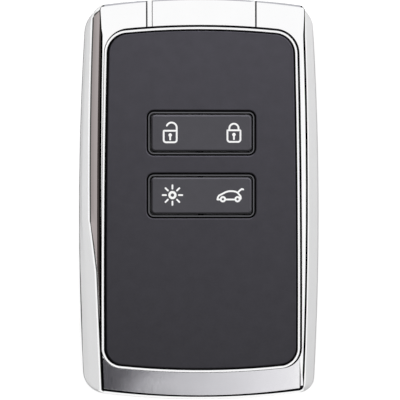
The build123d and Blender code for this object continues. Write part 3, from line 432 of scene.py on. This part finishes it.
looks = {
    # The frame's plating carries painted dark reflections and shade in lines.
    "chrome_frame": chrome("chrome_frame_plating", 0.05, with_painted_lines=True),
    "key_head": chrome("key_head_plating", 0.08),
    "panel_bezel": chrome("bezel_plating", 0.06),
    "front_panel": panel("panel_grain"),
    "lock_rocker": pad("pad_grain"),
    "button_guide": guide("guide_plastic"),
    "rear_casing": plastic("casing_grain", BLACK, 0.48, 0.22, 0.02, spread=0.2, edge=0.12),
    "battery_cover": plastic("cover_grain", BLACK, 0.42, 0.22, 0.014, spread=0.2, edge=0.1),
    "release_slider": plastic("slider_plastic", INNER_BLACK, 0.36, 0.12, 0.006),
    "chassis": plastic("chassis_plastic", (0.035, 0.036, 0.04), 0.5, 0.3, 0.012, spread=0.25),
    "key_carrier": plastic("carrier_plastic", INNER_BLACK, 0.45, 0.15, 0.01),
    "key_mat": silicone("mat_silicone", (0.33, 0.34, 0.35)),
    "circuit_board": laminate("board_laminate"),
    "controller_chip": plastic("chip_resin", (0.018, 0.018, 0.02), 0.4, 0.05, 0.004),
    "board_passives": ceramic("passive_ceramic"),
    "lock_switch": metal("switch_steel", (0.58, 0.58, 0.57), 0.3, (1, 0.1, 1), 0.1, edge=0.06),
    "lock_plunger": plastic("plunger_plastic", (0.42, 0.05, 0.03), 0.4, 0.08, 0.003),
    "crystal": metal("crystal_can", (0.72, 0.71, 0.68), 0.22, (0.1, 1, 1), 0.08, edge=0.08),
    "low_frequency_antenna": wound("antenna_winding", (0.55, 0.22, 0.08), 0.16, "Z"),
    "transponder_coil": wound("coil_winding", (0.60, 0.25, 0.09), 0.14, "X"),
    "battery_cell": rings("cell_steel", (0.70, 0.70, 0.69), 0.28, "battery_cell", 0.12),
    "side_contact": metal("contact_steel", (0.74, 0.66, 0.48), 0.25, (0.1, 1, 1), 0.08, edge=0.04),
    "latch_spring": metal("spring_steel", (0.50, 0.50, 0.50), 0.3, (1, 0.08, 1), 0.1, edge=0.05),
    "key_blade": metal("blade_steel", STEEL, 0.3, (1, 0.05, 1), 0.14, edge=0.12, spread=0.12),
    "key_pin": rings("pin_steel", STEEL, 0.25, "key_pin", 0.08),
    "board_screws": metal("screw_steel", (0.66, 0.64, 0.58), 0.3, (1, 1, 0.1), 0.1, edge=0.08),
}
same_look = {
    "lamp_rocker": "lock_rocker",
    "radio_chip": "controller_chip",
    "unlock_switch": "lock_switch",
    "lamp_switch": "lock_switch",
    "tailgate_switch": "lock_switch",
    "unlock_plunger": "lock_plunger",
    "lamp_plunger": "lock_plunger",
    "tailgate_plunger": "lock_plunger",
    "face_contact": "side_contact",
}
for node_name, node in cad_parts.items():
    look = looks[same_look.get(node_name, node_name)]
    node.data.materials.clear()
    node.data.materials.append(look.material)


# Signs on the pads: thin white plates, drawn in millimetres from the centre of each sign

SIGN_DEPTH = 0.02
SIGN_STEP = 0.002
LINE = 0.36
CIRCLE_SIDES = 24
CORNER_STEPS = 8
CAP_STEPS = 6
MITRE_LIMIT = 0.5

UNLOCK_PLACE = (-6.39, 12.83)
LOCK_PLACE = (6.66, 12.93)
LAMP_PLACE = (-5.93, 0.87)
TAILGATE_PLACE = (5.9, 0.95)

CASE_WIDTH = 2.66
CASE_HEIGHT = 2.36
CASE_TOP = CASE_HEIGHT / 2
CASE_UPPER_RADIUS = 0.12
CASE_LOWER_RADIUS = 0.5
OPEN_RADIUS = 1.05
OPEN_LIFT = 0.62
OPEN_END = 156
CLOSED_RADIUS = 0.94
CLOSED_LIFT = 0.4
KEYHOLE_Y = 0.3
KEYHOLE_RADIUS = 0.36
KEYHOLE_FOOT = -0.62

LAMP_RADIUS = 0.6
LAMP_LINE = 0.5
RAY_COUNT = 8
RAY_START = 1.32
RAY_END = 2.0

SILL_Y = -0.98
CAR_LINE = [
    (-2.62, SILL_Y),
    (-2.52, -0.50),
    (-2.28, -0.16),
    (-1.55, 0.20),
    (-0.95, 0.52),
    (-0.25, 0.72),
    (0.55, 0.72),
    (1.10, 0.62),
    (1.50, 0.42),
    (1.82, 0.02),
    (2.12, -0.34),
    (2.16, -0.80),
    (1.95, SILL_Y),
]
TAILGATE_LINE = [(1.52, 0.42), (2.0, 0.90), (2.36, 1.16), (2.66, 1.08)]
WHEEL_X = 1.5
WHEEL_Y = -0.92
WHEEL_RADIUS = 0.44
WHEEL_LINE = 0.4


def arc(centre, radius, start, end, steps=20):
    """Points on an arc, by angle in degrees."""
    turns = [radians(start + (end - start) * i / steps) for i in range(steps + 1)]
    return [(centre[0] + radius * cos(t), centre[1] + radius * sin(t)) for t in turns]


def round_cap(point, forward, way, width):
    """Edges of the half disc at the start (way -1) or end (way 1) of a line, from there outwards."""
    side = Vector((-forward.y, forward.x))
    edges = []
    for step in range(1, CAP_STEPS + 1):
        turn = radians(90 * step / CAP_STEPS)
        middle = point + forward * way * (width / 2) * sin(turn)
        half = side * (width / 2) * cos(turn)
        edges.append((middle + half, middle - half))
    return edges


def stroke(points, width=LINE, closed=False):
    """Left and right edges of a line of even width, with round ends unless it is closed."""
    points = [Vector(point) for point in points]
    count = len(points)
    edges = []
    for i, point in enumerate(points):
        before = points[i - 1] if closed or i else point
        after = points[(i + 1) % count] if closed or i < count - 1 else point
        first = (point - before).normalized() if before is not point else (after - point).normalized()
        second = (after - point).normalized() if after is not point else first
        mitre = (first + second).normalized()
        reach = width / 2 / max(MITRE_LIMIT, mitre.dot(first))
        out = Vector((-mitre.y, mitre.x)) * reach
        edges.append((point + out, point - out))
    if closed:
        return edges + [edges[0]]
    start = round_cap(points[0], (points[1] - points[0]).normalized(), -1, width)
    end = round_cap(points[-1], (points[-1] - points[-2]).normalized(), 1, width)
    return start[::-1] + edges + end


def circle(centre, radius, width):
    """A closed round line."""
    step = 360 / CIRCLE_SIDES
    return stroke(arc(centre, radius, 0, 360 - step, CIRCLE_SIDES - 1), width, closed=True)


def sign(name, body, centre, strokes):
    """One sign as a mesh that rides on a body. Each stroke stands a step above the one before, so that
    no two tops lie in one plane."""
    bm = bmesh.new()
    for step, edges in enumerate(strokes):
        top = PAD_TOP + (SIGN_DEPTH + SIGN_STEP * step) * MM
        low = PAD_TOP - SIGN_DEPTH * MM
        rows = []
        for left, right in edges:
            row = []
            for point, z in ((left, top), (right, top), (right, low), (left, low)):
                row.append(bm.verts.new(((centre[0] + point.x) * MM, (centre[1] + point.y) * MM, z)))
            rows.append(row)
        for near, far in zip(rows, rows[1:]):
            for i in range(4):
                j = (i + 1) % 4
                bm.faces.new((near[i], near[j], far[j], far[i]))
        if edges[0] is not edges[-1]:
            bm.faces.new(rows[0])
            bm.faces.new(rows[-1])
    bmesh.ops.recalc_face_normals(bm, faces=bm.faces)
    mesh = bpy.data.meshes.new(name)
    bm.to_mesh(mesh)
    bm.free()
    mesh.materials.append(ink.material)
    made = bpy.data.objects.new(name, mesh)
    bpy.context.scene.collection.objects.link(made)
    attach(made, body)


def lock_case():
    """Closed line of the padlock's case, its middle at (0, 0)."""
    x, y = CASE_WIDTH / 2, CASE_HEIGHT / 2
    upper, lower = CASE_UPPER_RADIUS, CASE_LOWER_RADIUS
    corners = (
        ((x - upper, y - upper), upper, 0),
        ((upper - x, y - upper), upper, 90),
        ((lower - x, lower - y), lower, 180),
        ((x - lower, lower - y), lower, 270),
    )
    points = []
    for centre, radius, start in corners:
        points += arc(centre, radius, start, start + 90, CORNER_STEPS)
    return stroke(points, closed=True)


def open_shackle():
    """Shackle with its right foot in the case and its left end free."""
    bow = arc((CASE_WIDTH / 2 - OPEN_RADIUS, CASE_TOP + OPEN_LIFT), OPEN_RADIUS, OPEN_END, 0)
    return [*bow, (CASE_WIDTH / 2, CASE_TOP)]


def closed_shackle():
    """Shackle with both feet in the case."""
    bow = arc((0, CASE_TOP + CLOSED_LIFT), CLOSED_RADIUS, 180, 0)
    return [(-CLOSED_RADIUS, CASE_TOP), *bow, (CLOSED_RADIUS, CASE_TOP)]


def padlock(shackle):
    """A padlock: case, shackle, and a keyhole as a disc over a short stem."""
    disc = circle((0, KEYHOLE_Y), KEYHOLE_RADIUS / 2, KEYHOLE_RADIUS)
    stem = stroke([(0, KEYHOLE_Y), (0, KEYHOLE_FOOT)])
    return [lock_case(), stroke(shackle), disc, stem]


def shining_lamp():
    """A small ring with rays all round it."""
    strokes = [circle((0, 0), LAMP_RADIUS, LAMP_LINE)]
    for ray in range(RAY_COUNT):
        turn = radians(360 / RAY_COUNT * ray)
        strokes.append(stroke([(reach * cos(turn), reach * sin(turn)) for reach in (RAY_START, RAY_END)]))
    return strokes


def open_car():
    """A car from the side with its tailgate up: body, tailgate, sill and wheels."""
    strokes = [stroke(CAR_LINE), stroke(TAILGATE_LINE)]
    strokes.append(stroke([CAR_LINE[0], (-WHEEL_X - WHEEL_RADIUS, SILL_Y)]))
    strokes.append(stroke([(WHEEL_RADIUS - WHEEL_X, SILL_Y), (WHEEL_X - WHEEL_RADIUS, SILL_Y)]))
    for x in (-WHEEL_X, WHEEL_X):
        strokes.append(circle((x, WHEEL_Y), WHEEL_RADIUS, WHEEL_LINE))
    return strokes


ink = print_ink("sign_ink", (0.985, 0.985, 0.985))
sign("unlock_sign", "lock_rocker", UNLOCK_PLACE, padlock(open_shackle()))
sign("lock_sign", "lock_rocker", LOCK_PLACE, padlock(closed_shackle()))
sign("lamp_sign", "lamp_rocker", LAMP_PLACE, shining_lamp())
sign("tailgate_sign", "lamp_rocker", TAILGATE_PLACE, open_car())


# Stage: studio flags and cards, floor, world, lamps and camera

FLAG_COLUMNS = 24
FLAG_DISTANCE = 0.9
HORIZON_DISTANCE = 1.05
DARK = (0.004, 0.004, 0.005)

# Azimuths in degrees
RIGHT, HEAD, LEFT, FOOT = 0, 90, 180, 270

# White card lying on the floor round the fob
RING_SIDE = 0.046
RING_HEAD = 0.062
RING_FOOT = 0.043
RING_REACH = 1.2
RING_Z = 0.0002

# Card over the chin: its corners, the X where its darkest tone ends, its other tones by their share of
# the way from there to the right, and its streaks, which shift that share
CARD_LEFT = -0.06
CARD_RIGHT = 0.0513
CARD_FOOT = -0.130
CARD_HEAD = -0.062
CARD_Z = 0.40
CARD_DARK_X = -0.006
CARD_DARKEST = (0.065, 0.063, 0.071)
CARD_LIGHTEST = (0.80, 0.79, 0.82)
CARD_TONES = {
    0.20: (0.084, 0.082, 0.092),
    0.30: (0.39, 0.385, 0.41),
    0.42: (0.45, 0.445, 0.47),
    0.46: (0.53, 0.525, 0.55),
}
STREAK_SIZE = 10 / 3
STREAK_STRETCH = (0.3, 1, 1)
STREAK_TURN = radians(32)
STREAK_DARKER = -0.12
STREAK_LIGHTER = 0.15

FLOOR_COLOUR = (0.82, 0.82, 0.82, 1)
FLOOR_CAMERA_LIFT = 0.62
FLOOR_MIRROR_LIFT = 0.02
FLOOR_REACH = 4.0
FLOOR_Z = -0.00005

WORLD_LIGHT = 0.5

# The camera looks down on the panel and leans a little to the left. VIEW_WIDTH is the width that the
# photograph shows at the target, and the sensor's width is in millimetres.
CAMERA_TARGET = Vector((0.164 * MM, -0.134 * MM, 4.5 * MM))
CAMERA_LEAN = radians(3.6)
CAMERA_DISTANCE = 1.2
VIEW_WIDTH = 0.0822
SENSOR_WIDTH = 36


class StageLook(Nodes):
    """A material of the stage, with nothing in it but its output."""

    def __init__(self, name):
        self.material = bpy.data.materials.new(name)
        self.material.use_nodes = True
        super().__init__(self.material.node_tree)
        self.tree.nodes.clear()
        self.out = self.node("ShaderNodeOutputMaterial")

    def show(self, shader):
        self.link(shader.outputs[0], self.out.inputs["Surface"])


def glow(name, colour):
    """The material of a plain emitter."""
    made = StageLook(name)
    made.show(made.node("ShaderNodeEmission", Color=(*colour, 1)))
    return made.material


def streaked_card():
    """An emitter that is dark on the left and light on the right, with slanting streaks."""
    made = StageLook("chin_card")
    across = made.ramp(made.axes["X"], CARD_DARK_X, CARD_RIGHT)
    streaks = made.noise(STREAK_SIZE, 1.0, STREAK_STRETCH, STREAK_TURN, distortion=0.8)
    shift = made.spread(streaks, STREAK_DARKER, STREAK_LIGHTER)
    tone = made.node("ShaderNodeValToRGB")
    tone.color_ramp.elements[0].color = (*CARD_DARKEST, 1)
    tone.color_ramp.elements[1].color = (*CARD_LIGHTEST, 1)
    for place, colour in CARD_TONES.items():
        tone.color_ramp.elements.new(place).color = (*colour, 1)
    made.link(made.maths("ADD", across, shift), tone.inputs["Fac"])
    light = made.node("ShaderNodeEmission")
    made.link(tone.outputs["Color"], light.inputs["Color"])
    made.show(light)
    return made.material


def floor_white():
    """Matt white, lifted for the camera and a little in reflections, so that the shadow alone shows."""
    made = StageLook("floor_white")
    path = made.node("ShaderNodeLightPath")
    for_camera = made.maths("MULTIPLY", path.outputs["Is Camera Ray"], FLOOR_CAMERA_LIFT)
    for_mirror = made.maths("MULTIPLY", path.outputs["Is Glossy Ray"], FLOOR_MIRROR_LIFT)
    lift = made.node("ShaderNodeEmission")
    made.link(made.maths("ADD", for_camera, for_mirror), lift.inputs["Strength"])
    matt = made.node("ShaderNodeBsdfDiffuse", Color=FLOOR_COLOUR)
    both = made.node("ShaderNodeAddShader")
    made.link(matt.outputs[0], both.inputs[0])
    made.link(lift.outputs[0], both.inputs[1])
    made.show(both)
    return made.material


def rectangle(left, right, foot, head, z):
    """Corners of a level rectangle."""
    return [(left, foot, z), (right, foot, z), (right, head, z), (left, head, z)]


def stage_mesh(name, corners, material, quads=None):
    """A stage mesh from its corners, one face unless quads are given."""
    mesh = bpy.data.meshes.new(name)
    mesh.from_pydata(corners, [], quads or [tuple(range(len(corners)))])
    mesh.materials.append(material)
    made = bpy.data.objects.new(name, mesh)
    bpy.context.scene.collection.objects.link(made)
    return made


def glossy_only(obj):
    """Seen in reflections alone, as a studio flag or card just out of the picture."""
    obj.visible_camera = False
    obj.visible_diffuse = False
    obj.visible_shadow = False
    obj.visible_transmission = False
    obj.visible_volume_scatter = False


def flag(name, middle, half_turn, low, high, colour, distance=FLAG_DISTANCE):
    """A curved card round the object, from azimuth middle - half_turn to middle + half_turn and from
    elevation low to high, all in degrees."""
    corners, quads = [], []
    for elevation in (low, high):
        flat = distance * cos(radians(elevation))
        for i in range(FLAG_COLUMNS + 1):
            turn = radians(middle - half_turn + 2 * half_turn * i / FLAG_COLUMNS)
            corners.append((flat * cos(turn), flat * sin(turn), distance * sin(radians(elevation))))
    for i in range(FLAG_COLUMNS):
        above = i + FLAG_COLUMNS + 1
        quads.append((i, i + 1, above + 1, above))
    glossy_only(stage_mesh(name, corners, glow(name, colour), quads))


def floor_ring():
    """White card lying on the floor round the fob, for the narrow bands that look far out."""
    inner = rectangle(-RING_SIDE, RING_SIDE, -RING_FOOT, RING_HEAD, RING_Z)
    outer = rectangle(-RING_REACH, RING_REACH, -RING_REACH, RING_REACH, RING_Z)
    quads = [(i, (i + 1) % 4, (i + 1) % 4 + 4, i + 4) for i in range(4)]
    glossy_only(stage_mesh("floor_card", inner + outer, glow("floor_card", WHITE), quads))


def lamp(name, place, size, power):
    """A square soft lamp aimed at the fob, unseen in reflections."""
    data = bpy.data.lights.new(name, "AREA")
    data.size = size
    data.energy = power
    made = bpy.data.objects.new(name, data)
    made.location = place
    made.rotation_mode = "QUATERNION"
    made.rotation_quaternion = (-Vector(place)).to_track_quat("-Z", "Y")
    made.visible_glossy = False
    bpy.context.scene.collection.objects.link(made)


def light_world():
    """World: white to the camera, in reflections and through glass, softer as light."""
    world = bpy.data.worlds.new("studio")
    bpy.context.scene.world = world
    world.use_nodes = True
    made = Nodes(world.node_tree)
    background = made.tree.nodes["Background"]
    background.inputs["Color"].default_value = (*WHITE, 1)
    path = made.node("ShaderNodeLightPath")
    kinds = ("Is Camera Ray", "Is Glossy Ray", "Is Transmission Ray")
    seen = made.maths("MAXIMUM", *(path.outputs[kind] for kind in kinds))
    strength = made.spread(seen, WORLD_LIGHT, 1.0, start=0.0, end=1.0)
    made.link(strength, background.inputs["Strength"])


def place_camera():
    """Camera over the panel, in the place that the photograph was taken from."""
    back = Vector((-sin(CAMERA_LEAN), 0, cos(CAMERA_LEAN)))
    right = Vector((cos(CAMERA_LEAN), 0, sin(CAMERA_LEAN)))
    up = Vector((0, 1, 0))
    data = bpy.data.cameras.new("camera")
    data.sensor_width = SENSOR_WIDTH
    data.lens = SENSOR_WIDTH * CAMERA_DISTANCE / VIEW_WIDTH
    data.clip_start = 0.01
    data.clip_end = 20
    camera = bpy.data.objects.new("camera", data)
    camera.location = CAMERA_TARGET + back * CAMERA_DISTANCE
    camera.rotation_mode = "QUATERNION"
    camera.rotation_quaternion = Matrix((right, up, back)).transposed().to_quaternion()
    bpy.context.scene.collection.objects.link(camera)
    bpy.context.scene.camera = camera


# Flags by azimuth of the middle, half turn, lowest and highest elevation
flag("flag_left_dark", LEFT, 62, 56, 73, DARK)
flag("flag_left_brown", LEFT, 62, 34, 56, (0.052, 0.043, 0.041))
flag("flag_left_card", LEFT, 62, 14, 34, (0.42, 0.375, 0.37))
flag("flag_left_low", LEFT, 62, 2, 14, (0.09, 0.088, 0.085))
flag("flag_right", RIGHT, 52, 24, 64, DARK)
flag("flag_foot", FOOT, 62, 20, 64, DARK)
flag("flag_head", HEAD, 40, 20, 64, (0.52, 0.52, 0.55))
flag("flag_horizon", RIGHT, 180, 4, 17, (0.36, 0.36, 0.38), HORIZON_DISTANCE)
floor_ring()
chin_corners = rectangle(CARD_LEFT, CARD_RIGHT, CARD_FOOT, CARD_HEAD, CARD_Z)
glossy_only(stage_mesh("chin_card", chin_corners, streaked_card()))
floor_corners = rectangle(-FLOOR_REACH, FLOOR_REACH, -FLOOR_REACH, FLOOR_REACH, FLOOR_Z)
stage_mesh("floor", floor_corners, floor_white())
light_world()
lamp("key", (-0.05, 0.16, 0.15), size=0.10, power=0.20)
lamp("fill", (0.25, -0.30, 0.70), size=0.5, power=1.45)
place_camera()
bpy.context.scene.view_settings.view_transform = "Standard"
